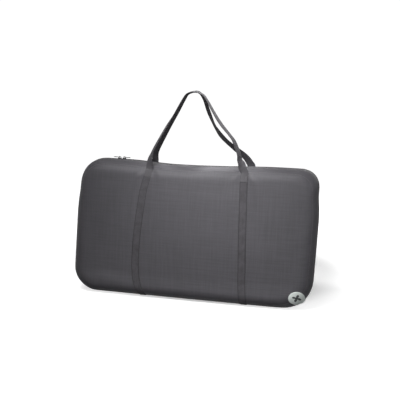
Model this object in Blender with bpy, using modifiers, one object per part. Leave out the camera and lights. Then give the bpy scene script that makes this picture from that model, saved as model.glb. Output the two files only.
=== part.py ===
"""A travel playpen packed in its soft carry bag, which stands upright on its bottom edge.

Metres, +Z up. X is the bag's width, -Y is its front. The origin is the centre of the footprint.
The bag's front opens as a flap along a U-shaped zip; the folded playpen stands inside.
"""
import math

import bmesh
import bpy
from mathutils import Matrix, Vector

# Bag body
BAG_WIDTH = 0.80
BAG_HEIGHT = 0.450
EDGE_HALF_DEPTH = 0.060     # half of the bag's depth where the panel's face ends
PANEL_BULGE = 0.016         # how far the middle of a panel stands out from its edge
CORNER_RADIUS = 0.090
EDGE_ROUND = 0.030          # how far the rounded edge reaches in from the outline
ROUND_POWER = 2.4           # squareness of the rounded edge
FACE_SHARE = 0.6            # share of the outline rings that lie on the panel's face
CORNER_SHARE = 0.4          # share of a side's grid columns that goes to its corners
CORNER_SHRINK = 0.4         # how fast the corner radius shrinks with the outline
BASE_FLAT = 0.0015          # depth pressed flat where the bag stands
CLOTH = 0.0025
SEAM_Y = 0.051              # the gusset is sewn to the panels here
SEAM_GAP = 0.0006
CENTRE_Z = BAG_HEIGHT / 2 - BASE_FLAT
SEAM_INSET = 0.003          # in rings: the panels end this much inside the seam
PANEL_CELLS = 22
BAND_CELLS = 60             # cells of a gusset band along the outline
BASE_CELLS = (56, 14)
GUSSET_ROWS = 6
BAND_START = -0.60          # where a gusset band starts on the unit square's sides
BASE_START = -0.45
COIL_START = -0.46

# Front flap
HINGE_Z = 0.120
HINGE_GAP = 0.0008

# Zip
ZIP_HALF = 0.0125
COIL_RADIUS = 0.0017
COIL_Y = 0.0021
TAPE = 0.0012
SLIDER_LENGTH = 0.012
SLIDER_WIDTH = 0.0096
SLIDER_X = (-0.2660, -0.2500)
SLIDER_LIFT = 0.0014
SLIDER_PLATE = 0.0026
BAIL_LENGTH = 0.0076
BAIL_HEIGHT = 0.0046
BAIL_WIDTH = 0.0022
BAIL_ROD = 0.0013           # thickness of the bail's legs
BAIL_ROOF = 0.0010
RAIL_THICK = 0.0010
RAIL_SHARE = 0.8            # the rail's length as a share of the slider's
METAL_OVERLAP = 0.0004      # how far joined metal shapes reach into each other
METAL_EDGE = 0.0002         # bevel of the slider's edges
PULL_LENGTH = 0.026
PULL_WIDTH = 0.0070
PULL_THICK = 0.0014
PULL_CORNER = 0.0016
PULL_HOLE = (0.0038, 0.0040)
PULL_HOLE_CORNER = 0.0005

# Straps and handles
STRAP_X = 0.168
WEB_WIDTH = 0.025
WEB_THICK = 0.0016
WEB_GAP = 0.0007
STRAP_TOP = 0.4065
STRAP_TUCK_Y = 0.040        # the straps end under the bag at this depth
STRAP_FOOT = 0.001          # height of the straps' lower ends over the cloth there
STRAP_CELLS = {"lower": 10, "upper": 14, "whole": 22}
HANDLE_STEPS = 3            # cells of a handle between two of its outline's points
HANDLE_BASE = 0.4085
HANDLE_TOP = 0.686
HANDLE_BASE_Y = 0.0675
HANDLE_TOP_Y = 0.0140
TWIST_START = 0.450
TWIST_END = 0.640
FRONT_HANDLE = ((-0.163, 0.4085), (-0.147, 0.450), (-0.129, 0.490), (-0.099, 0.566), (-0.069, 0.618),
                (-0.036, 0.668), (-0.012, 0.686), (0.012, 0.672), (0.044, 0.630), (0.090, 0.576),
                (0.127, 0.528), (0.150, 0.482), (0.163, 0.447), (0.166, 0.4085))
BACK_HANDLE = ((-0.163, 0.4085), (-0.148, 0.450), (-0.127, 0.500), (-0.092, 0.580), (-0.060, 0.634),
               (-0.030, 0.672), (-0.008, 0.684), (0.010, 0.664), (0.029, 0.610), (0.062, 0.548),
               (0.107, 0.507), (0.148, 0.474), (0.167, 0.445), (0.170, 0.4085))

# Round patch at the lower right of the front
PATCH_RADIUS = 0.025
PATCH_THICK = 0.0010
PATCH_X = 0.343
PATCH_Z = 0.053
PATCH_CELLS = 12

# Folded playpen
WALLS = 8
WALL_LENGTH = 0.745
WALL_HEIGHT = 0.400
WALL_BASE_Z = 0.023
WALL_CORNER = 0.075
TUBE = 0.012
PITCH = 0.0126
CORNER_STEPS = 5
INFILL_THICK = 0.0015
INFILL_GAP = 0.0006
CLIP_X = 0.22
CLIP_LENGTH = 0.030
CLIP_OVER = 0.003
CLIP_GAP = 0.0003
CLIP_CROWN = 0.0005         # how far the clip's middle lies outside its tubes' axes
CLIP_SPACING = 0.0010       # gap between the clips of one wall
MAT_WIDTH = 0.40
MAT_HEIGHT = 0.26
MAT_BACK_Y = 0.0515
MAT_CLEARANCE = 0.002       # between the mat and the inside of the front panel
MAT_EDGE = 0.020            # the mat thins towards its edges over this width
MAT_EDGE_SHARE = 0.75
MAT_SLAB = 0.002            # thickness of the slab that the mat is swollen from
MAT_CUTS = 9

MATERIALS = {
    "bag_fabric": ((0.115, 0.108, 0.120, 1.0), 0.55, 0.0),
    "webbing": ((0.085, 0.080, 0.088, 1.0), 0.75, 0.0),
    "zip_fabric": ((0.060, 0.058, 0.062, 1.0), 0.80, 0.0),
    "zip_coil": ((0.040, 0.040, 0.042, 1.0), 0.40, 0.0),
    "zip_metal": ((0.100, 0.100, 0.105, 1.0), 0.35, 1.0),
    "patch": ((0.560, 0.600, 0.580, 1.0), 0.60, 0.0),
    "frame_tube": ((0.420, 0.420, 0.430, 1.0), 0.35, 1.0),
    "wall_fabric": ((0.160, 0.160, 0.170, 1.0), 0.85, 0.0),
    "clip_plastic": ((0.050, 0.050, 0.052, 1.0), 0.50, 0.0),
    "mat_fabric": ((0.300, 0.300, 0.310, 1.0), 0.90, 0.0),
}


def clear_scene():
    for item in list(bpy.data.objects):
        bpy.data.objects.remove(item, do_unlink=True)


def new_collection(name, hidden=False):
    collection = bpy.data.collections.new(name)
    bpy.context.scene.collection.children.link(collection)
    collection.hide_render = hidden
    return collection


def make_material(name):
    colour, roughness, metallic = MATERIALS[name]
    material = bpy.data.materials.new(name)
    material.use_nodes = True
    shader = material.node_tree.nodes["Principled BSDF"]
    shader.inputs["Base Color"].default_value = colour
    shader.inputs["Roughness"].default_value = roughness
    shader.inputs["Metallic"].default_value = metallic
    material.diffuse_color = colour
    return material


def add_object(name, data, material):
    """Link an object with its own copy of a material to the bag's collection."""
    item = bpy.data.objects.new(name, data)
    own = make_material(material)
    own.name = name + "_material"
    data.materials.clear()
    data.materials.append(own)
    BAG.objects.link(item)
    return item


# ---------------------------------------------------------------- the bag's surface

def rounded_xz(u, v, half_x, half_z, radius):
    """The point of a rounded rectangle that lies towards (u, v), a point of the unit square's edge."""
    if abs(v) > abs(u):
        z, x = rounded_xz(v, u, half_z, half_x, radius)
        return x, z
    along = v / abs(u)
    straight = 1 - CORNER_SHARE
    if abs(along) <= straight:
        return math.copysign(half_x, u), along / straight * (half_z - radius)
    turn = (abs(along) - straight) / CORNER_SHARE * math.pi / 4
    x = half_x - radius + radius * math.cos(turn)
    z = half_z - radius + radius * math.sin(turn)
    return math.copysign(x, u), math.copysign(z, along)


def outline_at(drop):
    """Half width, half height and corner radius of the outline, drop metres inside the zip line."""
    radius = CORNER_RADIUS - CORNER_SHRINK * drop
    return BAG_WIDTH / 2 - drop, BAG_HEIGHT / 2 - drop, radius


def drop_at(depth):
    """How far the rounded edge has dropped in from the zip line at a distance from the mid-plane."""
    cosine = (depth / EDGE_HALF_DEPTH) ** (ROUND_POWER / 2)
    sine = math.sqrt(max(0.0, 1 - cosine * cosine))
    return EDGE_ROUND * (1 - sine ** (2 / ROUND_POWER))


def ring(s):
    """Outline and distance from the mid-plane of ring s: 0 is the panel's middle, 1 the zip line."""
    if s < FACE_SHARE:
        k = s / FACE_SHARE
        half_x, half_z, radius = outline_at(EDGE_ROUND)
        return half_x * k, half_z * k, radius * k, EDGE_HALF_DEPTH + PANEL_BULGE * (1 - k * k)
    turn = (s - FACE_SHARE) / (1 - FACE_SHARE) * math.pi / 2
    depth = EDGE_HALF_DEPTH * max(0.0, math.cos(turn)) ** (2 / ROUND_POWER)
    return (*outline_at(drop_at(depth)), depth)


def bag_point(x, depth, z):
    """A point of the front half of the bag, pressed flat where it stands."""
    return Vector((x, -depth, max(0.0, CENTRE_Z + z)))


def panel_point(u, v, reach):
    """The panel's surface for a grid point (u, v) from -1 to 1; reach is the ring at the grid's edge."""
    s = max(abs(u), abs(v))
    half_x, half_z, radius, depth = ring(s * reach)
    if s < 1e-6:
        return bag_point(0.0, depth, 0.0)
    x, z = rounded_xz(u / s, v / s, half_x, half_z, radius)
    return bag_point(x, depth, z)


def edge_point(u, v, depth):
    """The gusset's surface towards (u, v) at a signed distance in front of the mid-plane."""
    half_x, half_z, radius = outline_at(drop_at(abs(depth)))
    x, z = rounded_xz(u, v, half_x, half_z, radius)
    return bag_point(x, depth, z)


def ring_through(x, z):
    """The ring that passes through a point of the panel, found by halving the interval."""
    low, high = 0.0, 1.0
    for _ in range(40):
        s = (low + high) / 2
        half_x, half_z, radius, _ = ring(s)
        over_x = max(0.0, abs(x) - (half_x - radius))
        over_z = max(0.0, abs(z) - (half_z - radius))
        if abs(x) <= half_x and abs(z) <= half_z and math.hypot(over_x, over_z) <= radius:
            high = s
        else:
            low = s
    return high


def face_point(x, z):
    """The front surface at x and height z."""
    depth = ring(ring_through(x, z - CENTRE_Z))[3]
    return Vector((x, -depth, z))


def raised_point(x, z, lift):
    """The front surface at x and height z, moved out along its own normal."""
    step = 0.0005
    here = face_point(x, z)
    across = face_point(x + step, z) - face_point(x - step, z)
    along = face_point(x, z + step) - face_point(x, z - step)
    normal = across.cross(along).normalized()
    return here + normal * lift


def square_walk(t, start):
    """Walk over the unit square's top, from (-1, start) up, across and down to (1, start)."""
    side = 1 - start
    length = t * (2 * side + 2)
    if length <= side:
        return -1.0, start + length
    if length <= side + 2:
        return length - side - 1, 1.0
    return 1.0, 1 - (length - side - 2)


# ---------------------------------------------------------------- builders

def finish_sheet(name, mesh, material, thickness, offset, outward):
    """Turn a sheet's faces outward, thicken it and add it as an object."""
    bmesh.ops.recalc_face_normals(mesh, faces=mesh.faces)
    total = sum(face.normal.dot(outward(face.calc_center_median())) for face in mesh.faces)
    if total < 0:
        bmesh.ops.reverse_faces(mesh, faces=mesh.faces)
    data = bpy.data.meshes.new(name)
    mesh.to_mesh(data)
    mesh.free()
    item = add_object(name, data, material)
    solid = item.modifiers.new("Thickness", "SOLIDIFY")
    solid.thickness = thickness
    solid.offset = offset
    return item


def from_bag_middle(point):
    return Vector((point.x * 0.2, point.y * 4, point.z - CENTRE_Z))


def from_bag_axis(point):
    return Vector((point.x, 0.0, point.z - CENTRE_Z))


def add_sheet(name, columns, rows, place, material, thickness, offset, outward, keep=None):
    """A grid laid by place(u, v), kept above or below a height, then thickened."""
    mesh = bmesh.new()
    bmesh.ops.create_grid(mesh, x_segments=columns, y_segments=rows, size=1)
    for vertex in mesh.verts:
        vertex.co = place(vertex.co.x, vertex.co.y)
    if keep:
        height, direction = keep
        geometry = mesh.verts[:] + mesh.edges[:] + mesh.faces[:]
        bmesh.ops.bisect_plane(mesh, geom=geometry, dist=1e-6, plane_co=(0, 0, height),
                               plane_no=(0, 0, direction), clear_inner=True)
    return finish_sheet(name, mesh, material, thickness, offset, outward)


def swept_tube(name, points, radius, material, closed=False):
    """A round tube through points, as a curve with a bevel."""
    data = bpy.data.curves.new(name, "CURVE")
    data.dimensions = "3D"
    data.bevel_depth = radius
    data.bevel_resolution = 1
    data.use_fill_caps = True
    spline = data.splines.new("POLY")
    spline.points.add(len(points) - 1)
    for target, point in zip(spline.points, points):
        target.co = (*point, 1.0)
    spline.use_cyclic_u = closed
    return add_object(name, data, material)


def flat_outline(name, loops, thickness, material):
    """A flat plate from closed loops of (x, y) points; inner loops are holes."""
    data = bpy.data.curves.new(name, "CURVE")
    data.dimensions = "2D"
    data.fill_mode = "BOTH"
    data.extrude = thickness / 2
    for loop in loops:
        spline = data.splines.new("POLY")
        spline.points.add(len(loop) - 1)
        for target, (x, y) in zip(spline.points, loop):
            target.co = (x, y, 0.0, 1.0)
        spline.use_cyclic_u = True
    return add_object(name, data, material)


def rounded_loop(width, height, radius, steps):
    """Points of a rounded rectangle around the origin, anticlockwise."""
    points = []
    for corner, (sx, sy) in enumerate(((1, 1), (-1, 1), (-1, -1), (1, -1))):
        for step in range(steps + 1):
            turn = (corner + step / steps) * math.pi / 2
            x = sx * (width / 2 - radius) + radius * math.cos(turn)
            y = sy * (height / 2 - radius) + radius * math.sin(turn)
            points.append((x, y))
    return points


def box_mesh(centre, size):
    """A cube primitive as a bmesh, at its place and size."""
    mesh = bmesh.new()
    bmesh.ops.create_cube(mesh, size=1, matrix=Matrix.Translation(centre) @ Matrix.Diagonal((*size, 1)))
    return mesh


def as_cutter(name, mesh):
    """A hidden object for a Boolean."""
    data = bpy.data.meshes.new(name)
    mesh.to_mesh(data)
    mesh.free()
    item = bpy.data.objects.new(name, data)
    item.hide_render = True
    item.display_type = "WIRE"
    CUTTERS.objects.link(item)
    return item


def add_boolean(item, cutter, operation):
    modifier = item.modifiers.new(operation.title(), "BOOLEAN")
    modifier.operation = operation
    modifier.solver = "EXACT"
    modifier.object = cutter


def smooth_path(points, steps):
    """A smooth curve through points, steps positions to each span."""
    path = []
    count = len(points)
    for i in range(count - 1):
        before = points[max(i - 1, 0)]
        after = points[min(i + 2, count - 1)]
        here, there = points[i], points[i + 1]
        for step in range(steps):
            t = step / steps
            path.append(0.5 * ((2 * here) + (there - before) * t
                               + (2 * before - 5 * here + 4 * there - after) * t * t
                               + (3 * here - before - 3 * there + after) * t ** 3))
    path.append(points[-1])
    return path


# ---------------------------------------------------------------- bag pieces

def panel_reach():
    """The ring where the panels end, just inside the seam."""
    seam_turn = math.acos((SEAM_Y / EDGE_HALF_DEPTH) ** (ROUND_POWER / 2))
    return FACE_SHARE + (1 - FACE_SHARE) * 2 / math.pi * seam_turn - SEAM_INSET


def front_panels():
    """The front's face in two panels: the flap above the hinge line and the fixed strip below it."""
    reach = panel_reach()

    def place(u, v):
        return panel_point(u, v, reach)
    add_sheet("front_panel", PANEL_CELLS, PANEL_CELLS, place, "bag_fabric", CLOTH, -1, from_bag_middle,
              keep=(HINGE_Z + HINGE_GAP, 1))
    add_sheet("front_lower_panel", PANEL_CELLS, PANEL_CELLS, place, "bag_fabric", CLOTH, -1,
              from_bag_middle, keep=(HINGE_Z - HINGE_GAP, -1))


def back_panel():
    reach = panel_reach()

    def place(u, v):
        point = panel_point(u, v, reach)
        return Vector((point.x, -point.y, point.z))
    add_sheet("back_panel", PANEL_CELLS, PANEL_CELLS, place, "bag_fabric", CLOTH, -1, from_bag_middle)


def upper_band(name, depth_a, depth_b, rows, material, thickness):
    """A band of the gusset that runs up one side, over the top and down the other."""
    def place(p, q):
        u, v = square_walk((p + 1) / 2, BAND_START)
        return edge_point(u, v, depth_a + (depth_b - depth_a) * (q + 1) / 2)
    add_sheet(name, BAND_CELLS, rows, place, material, thickness, -1, from_bag_axis,
              keep=(HINGE_Z + HINGE_GAP, 1))


def base_gusset():
    """The gusset under the bag and up its sides to the flap's hinge line, right across the depth."""
    depth = SEAM_Y - SEAM_GAP

    def place(p, q):
        u, v = square_walk((p + 1) / 2, BASE_START)
        return edge_point(u, -v, depth * q)
    add_sheet("base_gusset", *BASE_CELLS, place, "bag_fabric", CLOTH, -1, from_bag_axis,
              keep=(HINGE_Z - HINGE_GAP, -1))


def zip_coil(name, side):
    """One row of zip teeth as a smooth coil along the zip line."""
    points = []
    for i in range(BAND_CELLS + 1):
        u, v = square_walk(i / BAND_CELLS, COIL_START)
        half_x, half_z, radius = outline_at(COIL_RADIUS)
        x, z = rounded_xz(u, v, half_x, half_z, radius)
        points.append(bag_point(x, -side * COIL_Y, z))
    swept_tube(name, points, COIL_RADIUS, "zip_coil")


def gusset_and_zip():
    seam = SEAM_Y - SEAM_GAP
    zip_edge = ZIP_HALF + SEAM_GAP
    tape_outer = ZIP_HALF - SEAM_GAP
    tape_inner = COIL_Y + COIL_RADIUS + SEAM_GAP
    for name, side in (("front", 1), ("back", -1)):
        upper_band(name + "_gusset", side * seam, side * zip_edge, GUSSET_ROWS, "bag_fabric", CLOTH)
        upper_band("zip_tape_" + name, side * tape_outer, side * tape_inner, 1, "zip_fabric", TAPE)
        zip_coil("zip_coil_" + name, -side)


def strap_heights(bottom, top, count):
    """Heights along a strap, closer together towards its lower end."""
    return [bottom + (top - bottom) * (1 - math.cos(math.pi / 2 * i / count)) for i in range(count + 1)]


def strap(name, x, side, bottom, top, count):
    """A webbing strap that lies along the front (side -1) or the back (side 1), centred on x."""
    heights = strap_heights(bottom, top, count)

    def place(u, v):
        index = round((v + 1) / 2 * count)
        point = raised_point(x + u * WEB_WIDTH / 2, heights[index], WEB_GAP)
        return Vector((point.x, side * -point.y, point.z))

    def outward(_):
        return Vector((0, side, 0))
    add_sheet(name, 2, count, place, "webbing", WEB_THICK, 1, outward)


def straps():
    foot = drop_at(STRAP_TUCK_Y) - BASE_FLAT + STRAP_FOOT
    gap = 2 * HINGE_GAP
    for name, x in (("left", -STRAP_X), ("right", STRAP_X)):
        strap("front_strap_lower_" + name, x, -1, foot, HINGE_Z - gap, STRAP_CELLS["lower"])
        strap("front_strap_upper_" + name, x, -1, HINGE_Z + gap, STRAP_TOP, STRAP_CELLS["upper"])
        strap("back_strap_" + name, x, 1, foot, STRAP_TOP, STRAP_CELLS["whole"])


def handle(name, side, outline):
    """A webbing loop that twists edge-on towards its top."""
    corners = [Vector((x, z)) for x, z in outline]
    path = smooth_path(corners, HANDLE_STEPS)
    count = len(path) - 1

    def place(u, v):
        i = round((u + 1) / 2 * count)
        here = path[i]
        ahead = path[min(i + 1, count)] - path[max(i - 1, 0)]
        normal = Vector((ahead.y, -ahead.x)).normalized()
        rise = (here.y - HANDLE_BASE) / (HANDLE_TOP - HANDLE_BASE)
        share = min(1.0, max(0.0, (here.y - TWIST_START) / (TWIST_END - TWIST_START)))
        twist = (3 - 2 * share) * share * share * math.pi / 2
        half = v * WEB_WIDTH / 2
        depth = HANDLE_BASE_Y + (HANDLE_TOP_Y - HANDLE_BASE_Y) * rise + half * math.sin(twist)
        flat = here + normal * half * math.cos(twist)
        if i in (0, count):
            flat = Vector((here.x + math.copysign(half, normal.x * v), HANDLE_BASE))
        return Vector((flat.x, side * depth, flat.y))

    def outward(point):
        return Vector((0, side, 0)) if point.z < TWIST_START else Vector()
    add_sheet(name, count, 2, place, "webbing", WEB_THICK, 0, outward)


def patch():
    """A round badge over the lower right corner of the front."""
    def place(u, v):
        s = max(abs(u), abs(v))
        length = math.hypot(u, v)
        if length == 0:
            return raised_point(PATCH_X, PATCH_Z, WEB_GAP)
        scale = PATCH_RADIUS * s / length
        return raised_point(PATCH_X + u * scale, PATCH_Z + v * scale, WEB_GAP)

    def outward(_):
        return Vector((0, -1, 0))
    add_sheet("round_patch", PATCH_CELLS, PATCH_CELLS, place, "patch", PATCH_THICK, 1, outward)


def slider(name, x):
    """A zip slider: a plate over both coils, a rail behind the back coil and a bail on top.

    Returns the height of the middle of the bail's eye.
    """
    plate_low = CENTRE_Z + BAG_HEIGHT / 2 + SLIDER_LIFT
    plate_mid = plate_low + SLIDER_PLATE / 2
    body = box_mesh((x, 0, plate_mid), (SLIDER_LENGTH, SLIDER_WIDTH, SLIDER_PLATE))
    data = bpy.data.meshes.new(name)
    body.to_mesh(data)
    body.free()
    item = add_object(name, data, "zip_metal")
    rail_height = SLIDER_LIFT - METAL_OVERLAP + SLIDER_PLATE / 2
    rail_place = (x, SLIDER_WIDTH / 2 - RAIL_THICK / 2, plate_mid - rail_height / 2)
    rail = box_mesh(rail_place, (SLIDER_LENGTH * RAIL_SHARE, RAIL_THICK, rail_height))
    add_boolean(item, as_cutter(name + "_rail", rail), "UNION")
    bail_z = plate_low + SLIDER_PLATE + BAIL_HEIGHT / 2 - METAL_OVERLAP
    bail = box_mesh((x, 0, bail_z), (BAIL_LENGTH, BAIL_WIDTH, BAIL_HEIGHT))
    add_boolean(item, as_cutter(name + "_bail", bail), "UNION")
    eye_z = bail_z - METAL_OVERLAP / 2
    eye_size = (BAIL_LENGTH - 2 * BAIL_ROD, BAIL_WIDTH * 2, BAIL_HEIGHT - 2 * BAIL_ROOF)
    eye = box_mesh((x, 0, eye_z), eye_size)
    add_boolean(item, as_cutter(name + "_eye", eye), "DIFFERENCE")
    bevel = item.modifiers.new("Bevel", "BEVEL")
    bevel.width = METAL_EDGE
    bevel.segments = 1
    return eye_z


def pull(name, x, z, side):
    """A flat pull tab whose end bar passes through the slider's bail; side is the way it lies."""
    tab = rounded_loop(PULL_LENGTH, PULL_WIDTH, PULL_CORNER, 3)
    hole_centre = -PULL_LENGTH / 2 + PULL_THICK + PULL_HOLE[0] / 2
    hole = [(px + hole_centre, py) for px, py in rounded_loop(*PULL_HOLE, PULL_HOLE_CORNER, 1)]
    item = flat_outline(name, (tab, hole), PULL_THICK, "zip_metal")
    item.location = (x + side * (PULL_LENGTH / 2 - PULL_THICK / 2), 0, z)
    item.rotation_euler = (0, 0, 0 if side > 0 else math.pi)


def zip_sliders():
    for name, x, side in (("left", SLIDER_X[0], -1), ("right", SLIDER_X[1], 1)):
        eye_z = slider("zip_slider_" + name, x)
        pull("zip_pull_" + name, x, eye_z, side)


# ---------------------------------------------------------------- folded playpen

def wall_y(index):
    """The depth at which wall index stands in the folded stack."""
    return (index - (WALLS - 1) / 2) * PITCH


def wall_frame(index):
    """One wall's tube, bent to a closed rounded rectangle."""
    loop = rounded_loop(WALL_LENGTH - TUBE, WALL_HEIGHT - TUBE, WALL_CORNER, CORNER_STEPS)
    middle = WALL_BASE_Z + WALL_HEIGHT / 2
    points = [(x, wall_y(index), z + middle) for x, z in loop]
    swept_tube(f"wall_frame_{index + 1}", points, TUBE / 2, "frame_tube", closed=True)


def wall_infill(index):
    """The fabric stretched inside one wall's tube."""
    inset = 2 * (TUBE + INFILL_GAP)
    radius = WALL_CORNER - TUBE / 2 - INFILL_GAP
    loop = rounded_loop(WALL_LENGTH - inset, WALL_HEIGHT - inset, radius, CORNER_STEPS)
    item = flat_outline(f"wall_fabric_{index + 1}", (loop,), INFILL_THICK, "wall_fabric")
    item.location = (0, wall_y(index), WALL_BASE_Z + WALL_HEIGHT / 2)
    item.rotation_euler = (math.pi / 2, 0, 0)


def hinge_clip(index, number, x, cutters):
    """A saddle clip that hinges wall index to the next, over their upper or lower tubes."""
    up = 1 if index % 2 == 0 else -1
    middle = WALL_BASE_Z + WALL_HEIGHT / 2
    tube_z = middle + up * (WALL_HEIGHT / 2 - TUBE / 2)
    y = (wall_y(index) + wall_y(index + 1)) / 2
    height = TUBE / 2 + CLIP_OVER
    place = (x, y, tube_z + up * (height / 2 + CLIP_CROWN))
    block = box_mesh(place, (CLIP_LENGTH, 2 * PITCH - CLIP_SPACING, height))
    data = bpy.data.meshes.new("hinge_clip")
    block.to_mesh(data)
    block.free()
    item = add_object(f"hinge_clip_{index + 1}_{number}", data, "clip_plastic")
    for wall in (index, index + 1):
        add_boolean(item, cutters[(wall, up)], "DIFFERENCE")


def hinge_clips():
    """Two clips between each wall and the next, cut to their tubes."""
    middle = WALL_BASE_Z + WALL_HEIGHT / 2
    cutters = {}
    for wall in range(WALLS):
        for up in (1, -1):
            mesh = bmesh.new()
            place = Matrix.Translation((0, wall_y(wall), middle + up * (WALL_HEIGHT / 2 - TUBE / 2)))
            turned = place @ Matrix.Rotation(math.pi / 2, 4, "Y")
            bmesh.ops.create_cone(mesh, cap_ends=True, segments=16, radius1=TUBE / 2 + CLIP_GAP,
                                  radius2=TUBE / 2 + CLIP_GAP, depth=WALL_LENGTH, matrix=turned)
            cutters[(wall, up)] = as_cutter(f"tube_space_{wall}_{up}", mesh)
    for index in range(WALLS - 1):
        for number, x in ((1, -CLIP_X), (2, CLIP_X)):
            hinge_clip(index, number, x, cutters)


def floor_mat():
    """The folded padded floor mat, flat at its back and swollen into the bag's front panel."""
    back = -MAT_BACK_Y
    mesh = box_mesh((0, back - MAT_SLAB / 2, CENTRE_Z), (MAT_WIDTH, MAT_SLAB, MAT_HEIGHT))
    long_edges = [e for e in mesh.edges if abs(e.verts[0].co.y - e.verts[1].co.y) < 1e-6]
    bmesh.ops.subdivide_edges(mesh, edges=long_edges, cuts=MAT_CUTS, use_grid_fill=True)
    for vertex in mesh.verts:
        if vertex.co.y < back - MAT_SLAB / 2:
            across = min(1.0, (MAT_WIDTH / 2 - abs(vertex.co.x)) / MAT_EDGE)
            upright = min(1.0, (MAT_HEIGHT / 2 - abs(vertex.co.z - CENTRE_Z)) / MAT_EDGE)
            fullness = MAT_EDGE_SHARE + (1 - MAT_EDGE_SHARE) * min(across, upright)
            front = face_point(vertex.co.x, vertex.co.z).y + CLOTH + MAT_CLEARANCE
            vertex.co.y = back + (front - back) * fullness
    data = bpy.data.meshes.new("floor_mat")
    mesh.to_mesh(data)
    mesh.free()
    add_object("floor_mat", data, "mat_fabric")


def folded_playpen():
    for index in range(WALLS):
        wall_frame(index)
        wall_infill(index)
    hinge_clips()
    floor_mat()


clear_scene()
BAG = new_collection("playpen_carry_bag")
CUTTERS = new_collection("cutters", hidden=True)
front_panels()
back_panel()
gusset_and_zip()
base_gusset()
straps()
handle("front_handle", -1, FRONT_HANDLE)
handle("back_handle", 1, BACK_HANDLE)
patch()
zip_sliders()
folded_playpen()
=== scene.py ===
"""A packed travel playpen: the looks of its carry bag and of what is folded inside.

Metres, +Z up, in the CAD's frame: X is the bag's width and -Y its front.
"""
import math

import bmesh
import bpy
import numpy as np
from mathutils import Matrix, Vector, noise


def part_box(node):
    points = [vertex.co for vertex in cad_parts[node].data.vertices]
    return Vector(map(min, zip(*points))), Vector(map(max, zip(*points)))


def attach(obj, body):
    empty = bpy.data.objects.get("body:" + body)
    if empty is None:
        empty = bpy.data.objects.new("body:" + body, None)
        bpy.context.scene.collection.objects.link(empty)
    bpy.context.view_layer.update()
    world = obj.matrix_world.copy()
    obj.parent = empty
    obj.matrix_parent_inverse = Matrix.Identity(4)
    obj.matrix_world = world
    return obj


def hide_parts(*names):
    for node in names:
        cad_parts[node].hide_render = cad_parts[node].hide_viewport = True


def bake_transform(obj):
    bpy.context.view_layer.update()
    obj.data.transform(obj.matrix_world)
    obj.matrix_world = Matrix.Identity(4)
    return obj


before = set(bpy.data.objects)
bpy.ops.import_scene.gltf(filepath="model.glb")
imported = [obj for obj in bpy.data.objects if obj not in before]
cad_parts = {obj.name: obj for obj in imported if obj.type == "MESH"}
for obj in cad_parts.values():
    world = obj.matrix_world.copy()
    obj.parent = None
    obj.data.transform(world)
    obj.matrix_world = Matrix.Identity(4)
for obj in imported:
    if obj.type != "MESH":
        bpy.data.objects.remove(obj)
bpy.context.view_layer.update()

# The bag's size, from the frame
HALF_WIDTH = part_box("base_gusset")[1].x
TOP_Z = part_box("back_gusset")[1].z
HINGE_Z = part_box("front_lower_panel")[1].z
BASE_FLAT = 0.0015
HALF_HEIGHT = (TOP_Z + BASE_FLAT) / 2
CENTRE_Z = HALF_HEIGHT - BASE_FLAT

# The bag's form
EDGE_HALF_DEPTH = 0.062
BULGE = 0.020
CORNER_RADIUS = 0.092
CORNER_SCALE = {"top_left": 0.95, "top_right": 0.74, "low_left": 0.82, "low_right": 1.06}
EDGE_ROUND = 0.048
ROUND_POWER = 2.5
CORNER_SHRINK = 0.4
FULLNESS = 1.007             # the stuffed bag is this much wider than the flat one
FACE_SHARE = 0.6
CORNER_SHARE = 0.4
SEAM_Y = 0.050
ZIP_HALF = 0.0125
CLOTH = 0.0010

# Straps and handles
WEB_WIDTH = 0.025
WEB_THICK = 0.0015
STRAP_EDGE_SHADE_START = 0.0100            # the painted shade along a strap's edges starts this far from its middle
FRONT_LEFT_LINE = ((-0.1500, 0.420), (-0.158, 0.390), (-0.164, 0.354), (-0.169, 0.289), (-0.172, 0.240),
                   (-0.175, 0.186), (-0.176, 0.118), (-0.172, 0.062), (-0.164, 0.030), (-0.155, 0.006))
FRONT_RIGHT_LINE = ((0.1590, 0.420), (0.164, 0.349), (0.171, 0.222), (0.1765, 0.124), (0.180, 0.006))
BACK_LEFT_LINE = ((-0.165, 0.420), (-0.170, 0.222), (-0.174, 0.006))
BACK_RIGHT_LINE = ((0.165, 0.420), (0.171, 0.222), (0.174, 0.006))
TAIL_FOOT, TAIL_TOP = 0.404, 0.430      # where the handles are sewn on
TAIL_DEPTH, PEAK_DEPTH, HANDLE_PEAK = 0.053, 0.014, 0.6845
FRONT_HANDLE = (
    (-0.1491, 0.4550, -38), (-0.1446, 0.4743, -57), (-0.1378, 0.4941, -65), (-0.1187, 0.5338, -69),
    (-0.0981, 0.5735, -72), (-0.0755, 0.6132, -84), (-0.0526, 0.6528, -91), (-0.0405, 0.6726, -91),
    (-0.0174, 0.6819, -84), (0.0095, 0.6748, -85), (0.0268, 0.6565, -86), (0.0509, 0.6194, -80),
    (0.0776, 0.5827, -76), (0.1116, 0.5465, -79), (0.1257, 0.5283, -74), (0.1427, 0.4914, -69),
    (0.1471, 0.4728, -58), (0.1538, 0.4606, -34), (0.1573, 0.4490, -6))
BACK_HANDLE = (
    (-0.1571, 0.4463, 42), (-0.1556, 0.4669, 55), (-0.1482, 0.4877, 60), (-0.1263, 0.5294, 66),
    (-0.1036, 0.5708, 72), (-0.0815, 0.6116, 70), (-0.0597, 0.6520, 75), (-0.0457, 0.6722, 80),
    (-0.0240, 0.6796, 77), (-0.0056, 0.6766, 64), (0.0100, 0.6553, 54), (0.0242, 0.6169, 50),
    (0.0414, 0.5784, 60), (0.0534, 0.5593, 54), (0.0681, 0.5403, 46), (0.0878, 0.5216, 48),
    (0.1122, 0.5031, 42), (0.1495, 0.4754, 28), (0.1667, 0.4531, 10), (0.1709, 0.4467, 3))
TAB_HALF = 0.0060            # half the length of a zip pull's tab
STITCH_STEP = 0.0036
STITCH_RADIUS = 0.00032
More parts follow.
